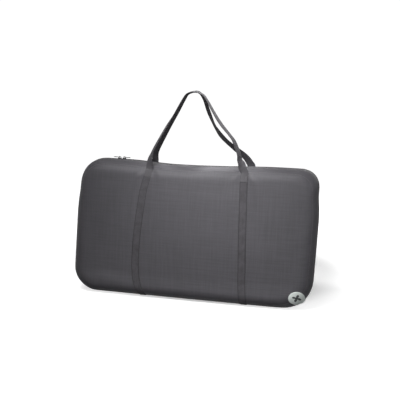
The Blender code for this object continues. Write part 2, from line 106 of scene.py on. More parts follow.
SEW_LINES = (-0.0105, 0.0, 0.0105)      # where a strap is sewn down, across its width
SELVEDGE_GROOVES = (-0.0104, 0.0104)
TOOTH_PITCH = 0.0026
TOOTH_HALF = 0.00055
BADGE_RADIUS = 0.0252

# Cloth grids
PANEL_GRID = (232, 144)

# Folded playpen
TUBE_CORNER = 0.075
TAPE_CORNER = 0.068
TAPE_GAP = 0.0022            # from the tube to the middle of the tape round the wall cloth
TAPE_RADIUS = 0.0017
MAT_LAYERS = 3
MAT_CORNER = 0.018
QUILT_STEP = 0.075

# Stage
STAGE_REACH = 14.0
PAINTED_SHADOW_CENTRE_Y = 0.50
PAINTED_SHADOW_OVAL = 0.87
GLOW_STOPS = ((0.387, 0.21), (0.562, 0.70), (0.95, 1.02))     # distance from the painted shadow's centre, glow strength


def smoothstep(low, high, value):
    share = np.clip((value - low) / (high - low), 0, 1)
    return share * share * (3 - 2 * share)


def hump(value, middle, width):
    return np.exp(-((value - middle) / width) ** 2)


def unit(vectors):
    """The vectors, each made one long."""
    return vectors / np.linalg.norm(vectors, axis=-1, keepdims=True)


def square_grid(columns, rows):
    """A grid over the unit square: the edge point that each point lies towards, and its share of the way."""
    u = np.linspace(-1, 1, columns)[None, :].repeat(rows, 0)
    v = np.linspace(-1, 1, rows)[:, None].repeat(columns, 1)
    s = np.maximum(np.abs(u), np.abs(v))
    safe = np.maximum(s, 1e-6)
    return u / safe, v / safe, s


def signed_power(value, power):
    return math.copysign(abs(value) ** power, value)


def weld(item, distance):
    mesh = bmesh.new()
    mesh.from_mesh(item.data)
    bmesh.ops.remove_doubles(mesh, verts=mesh.verts, dist=distance)
    mesh.to_mesh(item.data)
    mesh.free()


def add_to_scene(name, data):
    item = bpy.data.objects.new(name, data)
    bpy.context.scene.collection.objects.link(item)
    return item


# -------- materials

class Shader:
    """A node material being put together."""

    def __init__(self, name):
        self.material = bpy.data.materials.new(name)
        self.material.use_nodes = True
        self.tree = self.material.node_tree
        self.principled = self.tree.nodes["Principled BSDF"]
        self.position = self.node("ShaderNodeTexCoord").outputs["Object"]

    def node(self, kind, **settings):
        made = self.tree.nodes.new(kind)
        for key, value in settings.items():
            setattr(made, key, value)
        return made

    def join(self, output, target):
        self.tree.links.new(output, target)

    def set(self, **values):
        for key, value in values.items():
            self.principled.inputs[key.replace("_", " ")].default_value = value

    def math(self, operation, *values):
        made = self.node("ShaderNodeMath", operation=operation)
        for socket, value in zip(made.inputs, values):
            if isinstance(value, (int, float)):
                socket.default_value = value
            else:
                self.join(value, socket)
        return made.outputs[0]

    def wave(self, coordinate, pitch, sharp=1.0):
        """A rounded ridge every pitch metres along a coordinate, 0 to 1."""
        turned = self.math("MULTIPLY", coordinate, 2 * math.pi / pitch)
        ridge = self.math("MULTIPLY_ADD", self.math("SINE", turned), 0.5, 0.5)
        return self.math("POWER", ridge, sharp) if sharp != 1.0 else ridge

    def noise(self, scale, detail=3.0, roughness=0.5, coordinate=None, stretch=None):
        source = coordinate or self.position
        if stretch:
            mapping = self.node("ShaderNodeMapping")
            mapping.inputs["Scale"].default_value = stretch
            self.join(source, mapping.inputs["Vector"])
            source = mapping.outputs["Vector"]
        made = self.node("ShaderNodeTexNoise")
        made.inputs["Scale"].default_value = scale
        made.inputs["Detail"].default_value = detail
        made.inputs["Roughness"].default_value = roughness
        self.join(source, made.inputs["Vector"])
        return made.outputs["Fac"]

    def mix(self, share, dark, light, low=0.0, high=1.0):
        ramp = self.node("ShaderNodeValToRGB")
        ramp.color_ramp.elements[0].position = low
        ramp.color_ramp.elements[1].position = high
        ramp.color_ramp.elements[0].color = (*dark, 1)
        ramp.color_ramp.elements[1].color = (*light, 1)
        self.join(share, ramp.inputs["Fac"])
        return ramp.outputs["Color"]

    def colour(self, output):
        self.join(output, self.principled.inputs["Base Color"])

    def range_to(self, name, value, low, high):
        made = self.node("ShaderNodeMapRange")
        made.inputs["To Min"].default_value = low
        made.inputs["To Max"].default_value = high
        self.join(value, made.inputs["Value"])
        self.join(made.outputs["Result"], self.principled.inputs[name])

    def bump(self, height, distance, strength=1.0):
        made = self.node("ShaderNodeBump")
        made.inputs["Distance"].default_value = distance
        made.inputs["Strength"].default_value = strength
        self.join(height, made.inputs["Height"])
        previous = self.principled.inputs["Normal"]
        if previous.is_linked:
            self.join(previous.links[0].from_socket, made.inputs["Normal"])
        self.join(made.outputs["Normal"], self.principled.inputs["Normal"])

    def axes(self):
        """The position's x and z."""
        made = self.node("ShaderNodeSeparateXYZ")
        self.join(self.position, made.inputs["Vector"])
        return made.outputs["X"], made.outputs["Z"]


def nylon():
    """Satin ripstop nylon: a fine plain weave with slightly thicker threads at wider steps."""
    shader = Shader("charcoal_nylon")
    x, z = shader.axes()
    fine = shader.math("MULTIPLY", shader.wave(x, 0.0011), shader.wave(z, 0.0011))
    rib_x = shader.wave(x, 0.0064, 14.0)
    rib_z = shader.wave(z, 0.0064, 14.0)
    ribs = shader.math("MAXIMUM", rib_x, rib_z)
    slub_x = shader.noise(1.0, 2.0, 0.6, stretch=(260, 60, 9))
    slub_z = shader.noise(1.0, 2.0, 0.6, stretch=(9, 60, 260))
    slubs = shader.math("ADD", slub_x, slub_z)
    cloud = shader.noise(9.0, 4.0, 0.55)
    tone = shader.math("MULTIPLY", slubs, 0.45)
    tone = shader.math("ADD", tone, shader.math("MULTIPLY", cloud, 0.25))
    tone = shader.math("ADD", tone, shader.math("MULTIPLY", ribs, -0.025))
    shader.colour(shader.mix(tone, (0.0555, 0.0528, 0.0605), (0.0765, 0.0728, 0.0835), 0.42, 0.74))
    shader.range_to("Roughness", cloud, 0.56, 0.68)
    shader.bump(fine, 0.00012, 0.4)
    shader.bump(ribs, 0.00006, 0.3)
    shader.bump(slubs, 0.00012, 0.3)
    shader.set(Sheen_Weight=0.25, Sheen_Roughness=0.45, Specular_IOR_Level=0.5)
    return shader.material


def webbing(name, dark, light, edge_shade=1.0):
    """Woven strap: rounded cords along it, crossed by a fine weft; its last argument sets how dark a painted
    shade along its edges is.
    """
    shader = Shader(name)
    across = shader.node("ShaderNodeUVMap", uv_map="web")
    split = shader.node("ShaderNodeSeparateXYZ")
    shader.join(across.outputs["UV"], split.inputs["Vector"])
    cords = shader.wave(split.outputs["X"], 0.0021)
    weft = shader.wave(split.outputs["Y"], 0.0014)
    shifted = shader.math("ADD", split.outputs["Y"], shader.math("MULTIPLY", split.outputs["X"], 1.0))
    twill = shader.wave(shifted, 0.0020)
    weave = shader.math("MULTIPLY", cords, shader.math("MAXIMUM", weft, twill))
    dust = shader.noise(60.0, 3.0)
    tone = shader.math("ADD", shader.math("MULTIPLY", weave, 0.4), shader.math("MULTIPLY", dust, 0.6))
    # Painted shade: the colour darkens towards the strap's edges and stands in for the shadow lines along
    # them.
    edge_shade_distance = shader.math("SMOOTH_MAX", shader.math("ABSOLUTE", split.outputs["X"]), STRAP_EDGE_SHADE_START, 0.0004)
    shade = shader.node("ShaderNodeMapRange")
    shade.inputs["From Min"].default_value = STRAP_EDGE_SHADE_START
    shade.inputs["From Max"].default_value = STRAP_EDGE_SHADE_START + 0.0010
    shade.inputs["To Min"].default_value = 1.0
    shade.inputs["To Max"].default_value = edge_shade
    shader.join(edge_shade_distance, shade.inputs["Value"])
    tone = shader.math("MULTIPLY", tone, shade.outputs["Result"])
    shader.colour(shader.mix(tone, dark, light))
    shader.range_to("Roughness", dust, 0.60, 0.75)
    shader.bump(weave, 0.00012, 0.4)
    shader.set(Sheen_Weight=0.1, Sheen_Roughness=0.5, Specular_IOR_Level=0.3)
    return shader.material


def plain(name, dark, light, roughness, scale, metallic=0.0):
    """A moulded, painted or cast surface with a faint grain."""
    shader = Shader(name)
    grain = shader.noise(scale, 4.0, 0.6)
    shader.colour(shader.mix(grain, dark, light))
    shader.range_to("Roughness", grain, roughness * 0.85, roughness * 1.15)
    shader.bump(grain, 0.0001, 0.5)
    shader.set(Metallic=metallic)
    return shader.material


def woven(name, dark, light, pitch, roughness=0.8):
    """A plain woven cloth in the XZ plane."""
    shader = Shader(name)
    x, z = shader.axes()
    weave = shader.math("MULTIPLY", shader.wave(x, pitch), shader.wave(z, pitch))
    cloud = shader.noise(14.0, 4.0)
    tone = shader.math("ADD", shader.math("MULTIPLY", weave, 0.6), shader.math("MULTIPLY", cloud, 0.4))
    shader.colour(shader.mix(tone, dark, light))
    shader.range_to("Roughness", cloud, roughness - 0.08, roughness + 0.08)
    shader.bump(weave, 0.0003, 0.6)
    shader.set(Sheen_Weight=0.2)
    return shader.material


MATERIALS = {
    "nylon": nylon(),
    "webbing": webbing("dark_webbing", (0.046, 0.044, 0.049), (0.078, 0.074, 0.082)),
    # The panel straps get a painted shade along their edges.
    "strap": webbing("panel_strap", (0.020, 0.019, 0.021), (0.122, 0.115, 0.129), 0.30),
    "thread": plain("stitch_thread", (0.040, 0.038, 0.042), (0.060, 0.057, 0.062), 0.6, 900),
    "zip_tape": woven("zip_tape_weave", (0.030, 0.029, 0.031), (0.060, 0.058, 0.062), 0.0012),
    "zip_teeth": plain("zip_teeth_nylon", (0.020, 0.020, 0.021), (0.035, 0.035, 0.036), 0.35, 400),
    "zip_metal": plain("zip_gunmetal", (0.060, 0.060, 0.062), (0.110, 0.110, 0.112), 0.35, 500, 0.9),
    "pull": plain("pull_cord_grey", (0.150, 0.162, 0.154), (0.210, 0.224, 0.214), 0.6, 300),
    "badge": plain("badge_pale", (0.740, 0.790, 0.765), (0.800, 0.850, 0.825), 0.55, 260),
    "badge_mark": plain("badge_mark_dark", (0.060, 0.066, 0.066), (0.085, 0.092, 0.092), 0.55, 260),
    "tube": plain("satin_aluminium", (0.420, 0.420, 0.430), (0.500, 0.500, 0.510), 0.32, 700, 1.0),
    "wall": woven("wall_cloth", (0.110, 0.110, 0.118), (0.190, 0.190, 0.200), 0.0022),
    "binding": woven("binding_tape", (0.050, 0.050, 0.054), (0.090, 0.090, 0.095), 0.0010),
    "clip": plain("clip_nylon", (0.018, 0.018, 0.019), (0.032, 0.032, 0.034), 0.5, 300),
    "mat": woven("mat_cloth", (0.260, 0.260, 0.272), (0.380, 0.380, 0.395), 0.0018),
}


# -------- the bag's surface

def rounded_xz(u, v, half_x, half_z, radius):
    """Points of rounded rectangles towards (u, v), points of the unit square's edge."""
    swap = np.abs(v) > np.abs(u)
    main = np.where(swap, v, u)
    other = np.where(swap, u, v)
    half_main = np.where(swap, half_z, half_x)
    half_other = np.where(swap, half_x, half_z)
    along = other / np.maximum(np.abs(main), 1e-9)
    straight = 1 - CORNER_SHARE
    turn = np.clip((np.abs(along) - straight) / CORNER_SHARE, 0, 1) * math.pi / 4
    flat = np.abs(along) <= straight
    far = np.where(flat, half_main, half_main - radius + radius * np.cos(turn))
    near = np.where(flat, np.abs(along) / straight * (half_other - radius),
                    half_other - radius + radius * np.sin(turn))
    far = np.copysign(far, main)
    near = np.copysign(near, along)
    return np.where(swap, near, far), np.where(swap, far, near)


def corner_scale(x, z):
    """How much rounder than the plain radius the corner of this quarter is."""
    top = np.where(x < 0, CORNER_SCALE["top_left"], CORNER_SCALE["top_right"])
    low = np.where(x < 0, CORNER_SCALE["low_left"], CORNER_SCALE["low_right"])
    return np.where(z > 0, top, low)


def ring(s):
    """Outline and edge depth of ring s: 0 is the panel's middle, 1 the zip line."""
    turn = np.clip((s - FACE_SHARE) / (1 - FACE_SHARE), 0, 1) * math.pi / 2
    k = np.clip(s / FACE_SHARE, 0, 1)
    drop = EDGE_ROUND * (1 - np.sin(turn) ** (2 / ROUND_POWER))
    depth = EDGE_HALF_DEPTH * np.maximum(0.0, np.cos(turn)) ** (2 / ROUND_POWER)
    radius = CORNER_RADIUS - CORNER_SHRINK * drop
    return (HALF_WIDTH - drop) * k, (HALF_HEIGHT - drop) * k, radius * k, depth


def ring_at(depth):
    """The ring whose edge depth is this far from the mid-plane."""
    cosine = (depth / EDGE_HALF_DEPTH) ** (ROUND_POWER / 2)
    return FACE_SHARE + (1 - FACE_SHARE) * math.acos(cosine) / (math.pi / 2)


def ring_through(x, z):
    """The rings through points (x, z) of the face, z from the bag's middle."""
    low = np.zeros(np.shape(x))
    high = np.ones(np.shape(x))
    for _ in range(34):
        s = (low + high) / 2
        half_x, half_z, radius, _ = ring(s)
        radius = radius * corner_scale(x, z)
        over_x = np.maximum(0, np.abs(x) - (half_x - radius))
        over_z = np.maximum(0, np.abs(z) - (half_z - radius))
        inside = (np.abs(x) <= half_x) & (np.abs(z) <= half_z) & (np.hypot(over_x, over_z) <= radius)
        high = np.where(inside, s, high)
        low = np.where(inside, low, s)
    return high


def line_at(line, z):
    """The x of a strap's centre line at height z."""
    points = sorted(line, key=lambda point: point[1])
    heights = [point[1] for point in points]
    places = [point[0] for point in points]
    smooth = np.linspace(heights[0], heights[-1], 160)
    raw = np.interp(smooth, heights, places)
    kernel = np.hanning(17) / np.hanning(17).sum()
    padded = np.concatenate([np.full(8, raw[0]), raw, np.full(8, raw[-1])])
    return np.interp(z, smooth, np.convolve(padded, kernel, "valid"))


def value_noise(x, z, size, seed):
    """Smooth noise over the face, about -1 to 1, with lumps of the given size."""
    made = [noise.noise(Vector((a, b, seed * 7.3))) for a, b in zip(np.ravel(x) / size, np.ravel(z) / size)]
    return np.reshape(made, np.shape(x))


def relief(x, z, side):
    """How far the cloth stands out from its plain form at x and world height z."""
    lines = (FRONT_LEFT_LINE, FRONT_RIGHT_LINE) if side < 0 else (BACK_LEFT_LINE, BACK_RIGHT_LINE)
    out = 0.0030 * value_noise(x, z, 0.21, 1 - side)
    out = out + 0.0008 * value_noise(x, z, 0.060, 4 - side)
    for index, line in enumerate(lines):
        away = x - line_at(line, z)
        upper = smoothstep(0.20, 0.40, z)
        out = out - (0.0014 + 0.0022 * upper) * hump(away, 0, 0.026)
        pinch = hump(z, 0.430, 0.020)
        out = out - 0.0030 * pinch * hump(away, 0, 0.020)
        spread = np.arctan2(away, np.maximum(0.004, 0.452 - z))
        reach = np.hypot(away, 0.452 - z)
        fade = smoothstep(0.012, 0.022, reach) * (1 - smoothstep(0.035, 0.085, reach))
        out = out + 0.0010 * fade * np.sin(spread * 11 + index * 1.7)
        tension = smoothstep(0.02, 0.10, z) * (1 - smoothstep(0.30, 0.42, z))
        pucker = np.sin(z * 2 * math.pi / 0.021 + 2 * np.sin(z * 31 + index))
        out = out + 0.00022 * tension * pucker * hump(np.abs(away), 0.018, 0.009)
    left = x - line_at(lines[0], z)
    if side < 0:
        ridge = smoothstep(0.23, 0.30, z) * (1 - smoothstep(0.40, 0.43, z))
        out = out + 0.0030 * ridge * hump(left, -0.024, 0.011)
        lift = 1 - smoothstep(0.06, 0.10, z)
        out = out + 0.0030 * lift * hump(x, -0.27, 0.05) * hump(z, 0.055, 0.02)
    return out


def deform(points):
    """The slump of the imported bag: its top sags between its ends, its ends draw in at the top, and the
    front's lower corners lift off the floor."""
    x, y, z = points[..., 0], points[..., 1], points[..., 2]
    upper = smoothstep(0.20, TOP_Z, z)
    front = smoothstep(0.01, 0.06, -y)
    low_middle = smoothstep(-0.24, -0.08, x) * (1 - smoothstep(-0.08, 0.27, x))
    beside_zip = np.maximum(smoothstep(0.006, 0.024, np.abs(y)), smoothstep(0.32, 0.36, x))
    sag = 0.0066 * low_middle - 0.0052 * smoothstep(-0.02, 0.32, x) * beside_zip
    lift = 0.0130 * smoothstep(0.26, 0.385, x) + 0.0050 * smoothstep(0.31, 0.385, -x)
    lift = lift * (1 - smoothstep(0.0, 0.11, z)) * front
    lean = 0.026 * (z - CENTRE_Z) * smoothstep(0.0, 0.10, z)
    draw_left = 0.0065 * smoothstep(0.25, 0.39, -x) * hump(z, 0.365, 0.055)
    draw_right = 0.0075 * smoothstep(0.25, 0.39, x) * hump(z, 0.375, 0.050)
    spread = 1 + 0.13 * (1 - smoothstep(0.0, 0.09, z))
    out = points.copy()
    out[..., 0] = x * FULLNESS + lean + draw_left - draw_right
    out[..., 1] = y * spread
    out[..., 2] = z - sag * upper + lift
    return out


def cloth_depth(x, z, s, edge, side):
    """How far the cloth is from the mid-plane at (x, z), z from the bag's middle, on ring s."""
    crown = (1 - np.abs(x / HALF_WIDTH) ** 3) * (1 - (z / HALF_HEIGHT) ** 2)
    depth = edge * (1 + BULGE / EDGE_HALF_DEPTH * crown)
    return depth + relief(x, CENTRE_Z + z, side) * (1 - smoothstep(0.66, 0.90, s))


def shell(u, v, s, side):
    """Points of the bag's cloth towards (u, v) on ring s, on the front (-1) or the back (1)."""
    half_x, half_z, radius, edge = ring(s)
    x, z = rounded_xz(u, v, half_x, half_z, radius * corner_scale(u, v))
    depth = cloth_depth(x, z, s, edge, side)
    return deform(np.stack([x, side * depth, np.maximum(0.0, CENTRE_Z + z)], -1))


def face(x, z, side, lift):
    """Points of the face at x and world height z, raised off the cloth by lift."""
    def base(px, pz):
        s = ring_through(px, pz - CENTRE_Z)
        depth = cloth_depth(px, pz - CENTRE_Z, s, ring(s)[3], side)
        return np.stack([px, side * depth, pz], -1)
    step = 0.0006
    middle = base(x, z)
    across = base(x + step, z) - base(x - step, z)
    along = base(x, z + step) - base(x, z - step)
    normal = unit(np.cross(across, along) * -side)
    return deform(middle + normal * np.asarray(lift)[..., None])


# -------- mesh builders

def mesh_object(name, vertices, faces, materials, indices=None, uv=None):
    data = bpy.data.meshes.new(name)
    data.from_pydata([tuple(v) for v in vertices], [], faces)
    for material in materials:
        data.materials.append(MATERIALS[material])
    if indices is not None:
        data.polygons.foreach_set("material_index", indices)
    if uv is not None:
        layer = data.uv_layers.new(name="web")
        loops = np.zeros(len(data.loops), np.int32)
        data.loops.foreach_get("vertex_index", loops)
        layer.data.foreach_set("uv", np.asarray(uv, np.float32)[loops].ravel())
    data.shade_smooth()
    data.update()
    return add_to_scene(name, data)


def grid_faces(rows, columns, wrap=False, flip=False, offset=0):
    faces = []
    last = columns if wrap else columns - 1
    for i in range(rows - 1):
        for j in range(last):
            a = offset + i * columns + j
            b = offset + i * columns + (j + 1) % columns
            quad = (a, b, b + columns, a + columns)
            faces.append(quad[::-1] if flip else quad)
    return faces


def thicken(item, thickness, offset=-1.0):
    """Give a sheet its thickness, on its inner side unless offset says otherwise."""
    solid = item.modifiers.new("Thickness", "SOLIDIFY")
    solid.thickness = thickness
    solid.offset = offset
    solid.use_even_offset = False
    return item


def cloth_sheet(name, points, side, material="nylon"):
    """A cloth piece from a grid of points, its faces outward, with its thickness inside."""
    rows, columns = points.shape[:2]
    item = mesh_object(name, points.reshape(-1, 3), grid_faces(rows, columns, flip=side > 0), [material])
    return thicken(item, CLOTH)


def panel(name, side, reach):
    """A panel of the bag from a square grid."""
    u, v, s = square_grid(*PANEL_GRID)
    return cloth_sheet(name, shell(u, v, s * reach, side), side)


def square_walk(t):
    """Once round the unit square, from the middle of its foot, anticlockwise seen from the front."""
    length = (t % 1.0) * 8
    u = np.interp(length, (0, 1, 3, 5, 7, 8), (0, 1, 1, -1, -1, 0))
    v = np.interp(length, (0, 1, 3, 5, 7, 8), (-1, -1, 1, 1, -1, -1))
    return u, v


def gusset_ring(name, side, seam):
    """Half of the gusset, all round: up to the zip above the flap's hinge line, to the middle below it."""
    columns, rows = 640, 22
    t = np.linspace(0, 1, columns, endpoint=False)
    u, v = square_walk(t)
    height = shell(u, v, np.full(columns, 1.0), side)[:, 2]
    open_share = smoothstep(HINGE_Z - 0.003, HINGE_Z + 0.003, height)
    inner = 1.0 + (ring_at(ZIP_HALF) - 1.0) * open_share
    share = np.linspace(0, 1, rows)[:, None]
    s = seam + (inner[None, :] - seam) * share
    points = shell(u[None, :].repeat(rows, 0), v[None, :].repeat(rows, 0), s, side)
    pucker = 0.0002 * np.sin(t * 2 * math.pi * 118 + 3 * np.sin(t * 40)) * np.exp(-share * 9)
    points[..., 1] += side * pucker
    faces = grid_faces(rows, columns, wrap=True, flip=side < 0)
    item = mesh_object(name, points.reshape(-1, 3), faces, ["nylon"])
    return thicken(item, CLOTH)


def zip_walk(count):
    """Directions along the zip, from its left end over the top to its right end."""
    t = np.linspace(0, 1, 6001)
    u, v = square_walk(t)
    rim = shell(u, v, np.ones(6001), -1)
    keep = rim[:, 2] > HINGE_Z + 0.001
    rim, u, v = rim[keep], u[keep], v[keep]
    steps = np.linalg.norm(np.diff(rim, axis=0), axis=1)
    along = np.concatenate([[0], np.cumsum(steps)])
    places = np.linspace(0, along[-1], count)
    return np.interp(places, along, u), np.interp(places, along, v), along[-1]


def unit_edge(u, v):
    """Pushes interpolated directions back to the unit square's edge."""
    size = np.maximum(np.abs(u), np.abs(v))
    return u / size, v / size


def zip_tape(name, side):
    u, v, _ = zip_walk(420)
    u, v = unit_edge(u, v)
    rows = 7
    depths = np.linspace(ZIP_HALF + 0.0022, 0.0022, rows)
    s = np.array([ring_at(d) for d in depths])[:, None].repeat(len(u), 1)
    points = shell(u[None, :].repeat(rows, 0), v[None, :].repeat(rows, 0), s, side)
    inward = np.array([0, 0, CENTRE_Z]) - points
    inward[..., 1] = 0
    points += unit(inward) * 0.0009
    faces = grid_faces(rows, len(u), flip=side < 0)
    item = mesh_object(name, points.reshape(-1, 3), faces, ["zip_tape"])
    return thicken(item, 0.0006)


def zip_teeth(name, side):
    """A row of moulded teeth that reach across the mid-plane between the teeth of the other row."""
    length = zip_walk(10)[2]
    count = int(length / TOOTH_PITCH)
    u, v, _ = zip_walk(2 * count + 1)
    start = 0 if side < 0 else 1
    u, v = unit_edge(u[start::2], v[start::2])
    rim = shell(u, v, np.ones(len(u)), side)
    rim[:, 1] = 0
    ahead = unit(np.gradient(rim, axis=0))
    out = np.stack([-ahead[:, 2], np.zeros(len(u)), ahead[:, 0]], 1)
    out *= np.sign((out * (rim - np.array([0, 0, CENTRE_Z]))).sum(1))[:, None]
    profile = ((0.0034, 0.0), (0.0030, 0.0012), (0.0006, 0.0014), (-0.0007, 0.0009), (-0.0007, -0.0002),
               (0.0030, -0.0005))
    vertices, faces = [], []
    n = len(profile)
    for place, forward, up in zip(rim, ahead, out):
        base = len(vertices)
        for edge in (-TOOTH_HALF, TOOTH_HALF):
            for y, z in profile:
                vertices.append(place + forward * edge + np.array([0, side * y, 0]) + up * (z - 0.0009))
        quads = [(base + i, base + (i + 1) % n, base + n + (i + 1) % n, base + n + i) for i in range(n)]
        caps = [tuple(base + i for i in range(n))[::-1], tuple(base + n + i for i in range(n))]
        faces.extend(quads + caps)
    item = mesh_object(name, vertices, faces, ["zip_teeth"])
    item.data.set_sharp_from_angle(angle=math.radians(40))
    return item


# -------- webbing

def web_profile():
    """Half the cross-section of a webbing strap: across it, and how thick it is there."""
    across = np.linspace(-0.5, 0.5, 15) * WEB_WIDTH
    edge = np.clip((WEB_WIDTH / 2 - np.abs(across)) / 0.0010, 0, 1)
    thick = WEB_THICK * (0.45 + 0.55 * np.sqrt(edge))
    return across, thick


def web_strip(name, centre, width_dir, face_dir, material, grooves):
    """A closed webbing strip swept along centre; face_dir is the way its outer face looks."""
    across, thick = web_profile()
    for groove in grooves:
        thick = thick - 0.0005 * hump(across, groove, 0.0011)
    count = len(centre)
    n = len(across)
    loop_w = np.concatenate([across, across[::-1]])
    loop_t = np.concatenate([thick, np.zeros(n)])
    points = (centre[:, None, :] + width_dir[:, None, :] * loop_w[None, :, None]
              + face_dir[:, None, :] * loop_t[None, :, None])
    faces = grid_faces(count, 2 * n, wrap=True)
    faces.append(tuple(range(2 * n))[::-1])
    faces.append(tuple((count - 1) * 2 * n + i for i in range(2 * n)))
    along = np.concatenate([[0], np.cumsum(np.linalg.norm(np.diff(centre, axis=0), axis=1))])
    uv = np.stack(np.broadcast_arrays(loop_w[None, :], along[:, None]), -1).reshape(-1, 2)
    item = mesh_object(name, points.reshape(-1, 3), faces, [material, "thread"], uv=uv)
    fix_normals(item)
    return item


def fix_normals(item):
    """Turn a closed piece's faces outward and keep its sharp edges."""
    mesh = bmesh.new()
    mesh.from_mesh(item.data)
    bmesh.ops.recalc_face_normals(mesh, faces=mesh.faces)
    mesh.to_mesh(item.data)
    mesh.free()
    item.data.shade_smooth()
    item.data.set_sharp_from_angle(angle=math.radians(50))


def stitch_run(points, normals):
    """Thread that dips under the surface once a stitch; returns vertices and faces."""
    length = np.concatenate([[0], np.cumsum(np.linalg.norm(np.diff(points, axis=0), axis=1))])
    count = max(8, int(length[-1] / STITCH_STEP * 6))
    places = np.linspace(0, length[-1], count)
    line = np.stack([np.interp(places, length, points[:, i]) for i in range(3)], 1)
    normal = np.stack([np.interp(places, length, normals[:, i]) for i in range(3)], 1)
    normal = unit(normal)
    phase = places / STITCH_STEP * 2 * math.pi
    dip = np.minimum(0.0, np.cos(phase) + 0.55) * 0.0011
    line = line + normal * (dip[:, None] + STITCH_RADIUS * 0.4)
    ahead = unit(np.gradient(line, axis=0))
    side = unit(np.cross(ahead, normal))
    up = np.cross(side, ahead)
    angles = np.arange(4) * math.pi / 2 + math.pi / 4
    offsets = (side[:, None] * np.cos(angles)[None, :, None]
               + up[:, None] * np.sin(angles)[None, :, None]) * STITCH_RADIUS
    vertices = (line[:, None] + offsets).reshape(-1, 3)
    faces = grid_faces(count, 4, wrap=True)
    faces += [(0, 1, 2, 3), tuple((count - 1) * 4 + i for i in (3, 2, 1, 0))]
    return vertices, faces


def add_stitches(item, runs):
    """Join stitch runs to a strap's mesh in its second material."""
    mesh = bmesh.new()
    mesh.from_mesh(item.data)
    for points, normals in runs:
        vertices, faces = stitch_run(np.asarray(points), np.asarray(normals))
        made = [mesh.verts.new(v) for v in vertices]
        for corners in faces:
            new = mesh.faces.new([made[i] for i in corners])
            new.material_index = 1
            new.smooth = True
    mesh.to_mesh(item.data)
    mesh.free()


def panel_strap(name, line, side, low, high, box_top):
    """A strap sewn to the face along both edges and its middle, with a cross line at its top."""
    count = 190
    t = np.linspace(0, 1, count)
    z = low + (high - low) * (1 - np.cos(t * math.pi / 2)) ** 0.9
    z = np.maximum(z, low)
    x = line_at(line, z)
    centre = face(x, z, side, 0.0003)
    left = face(x - WEB_WIDTH / 2, z, side, 0.0003)
    right = face(x + WEB_WIDTH / 2, z, side, 0.0003)
    width_dir = unit(right - left)
    ahead = unit(np.gradient(centre, axis=0))
    face_dir = unit(np.cross(width_dir, ahead) * -side)
    item = web_strip(name, centre, width_dir, face_dir, "strap", SEW_LINES)
    top = WEB_THICK - 0.0005
    runs = []
    for offset in SEW_LINES:
        path = centre + width_dir * offset + face_dir * top
        runs.append((path, face_dir))
    for z_line in box_top:
        i = int(np.argmin(np.abs(z - z_line)))
        w = np.linspace(-0.0112, 0.0112, 12)[:, None]
        path = centre[i] + width_dir[i] * w + face_dir[i] * (WEB_THICK - 0.0001)
        runs.append((path, np.repeat(face_dir[i][None], 12, 0)))
    add_stitches(item, runs)
    return item


def smooth_path(points, count):
    """A smooth curve through points, evenly stepped, as an array."""
    points = np.asarray(points, float)
    before = np.vstack([2 * points[0] - points[1], points, 2 * points[-1] - points[-2]])
    pieces = []
    t = np.linspace(0, 1, 24, endpoint=False)[:, None]
    for i in range(1, len(before) - 2):
        p0, p1, p2, p3 = before[i - 1:i + 3]
        pieces.append(0.5 * (2 * p1 + (p2 - p0) * t + (2 * p0 - 5 * p1 + 4 * p2 - p3) * t ** 2
                             + (3 * p1 - p0 - 3 * p2 + p3) * t ** 3))
    path = np.vstack(pieces + [points[-1:]])
    along = np.concatenate([[0], np.cumsum(np.linalg.norm(np.diff(path, axis=0), axis=1))])
    places = np.linspace(0, along[-1], count)
    return np.stack([np.interp(places, along, path[:, i]) for i in range(path.shape[1])], 1)


def handle(name, side, line, strap_lines):
    """A webbing loop through points (x, z, turn), its ends sewn flat over the face's straps. It leans inwards
    as it rises; turn is how far it is turned edge-on, in degrees."""
    x, z, turn = np.array(line).T
    share = (z - TAIL_TOP) / (HANDLE_PEAK - TAIL_TOP)
    free = np.stack([x, side * (TAIL_DEPTH + (PEAK_DEPTH - TAIL_DEPTH) * share), z, turn], 1)
    ends = []
    for strap_line in strap_lines:
        height = np.linspace(TAIL_FOOT, TAIL_TOP, 5)
        tail = face(line_at(strap_line, height), height, side, WEB_THICK + 0.0009)
        ends.append(np.column_stack([tail, np.zeros(len(tail))]))
    path = smooth_path(np.vstack([ends[0], free, ends[1][::-1]]), 300)
    centre = path[:, :3]
    turn = np.radians(path[:, 3])
    ahead = unit(np.gradient(centre, axis=0))
    flat = unit(np.stack([ahead[:, 2], np.zeros(len(ahead)), -ahead[:, 0]], 1))
    depth_dir = unit(np.cross(ahead, flat))
    width_dir = flat * np.cos(turn)[:, None] + depth_dir * np.sin(turn)[:, None]
    face_dir = np.cross(width_dir, ahead)
    middle = centre - face_dir * WEB_THICK / 2
    item = web_strip(name, middle, width_dir, face_dir, "webbing", SELVEDGE_GROOVES)
    runs = []
    for index in (6, 22, len(centre) - 23, len(centre) - 7):
        across = np.linspace(-0.0108, 0.0108, 12)[:, None]
        outward = face_dir[index] if side < 0 else -face_dir[index]
        run = centre[index] + width_dir[index] * across + outward * WEB_THICK * 0.5
        runs.append((run, np.repeat(outward[None], 12, 0)))
    add_stitches(item, runs)
    return item


# -------- badge and zip hardware

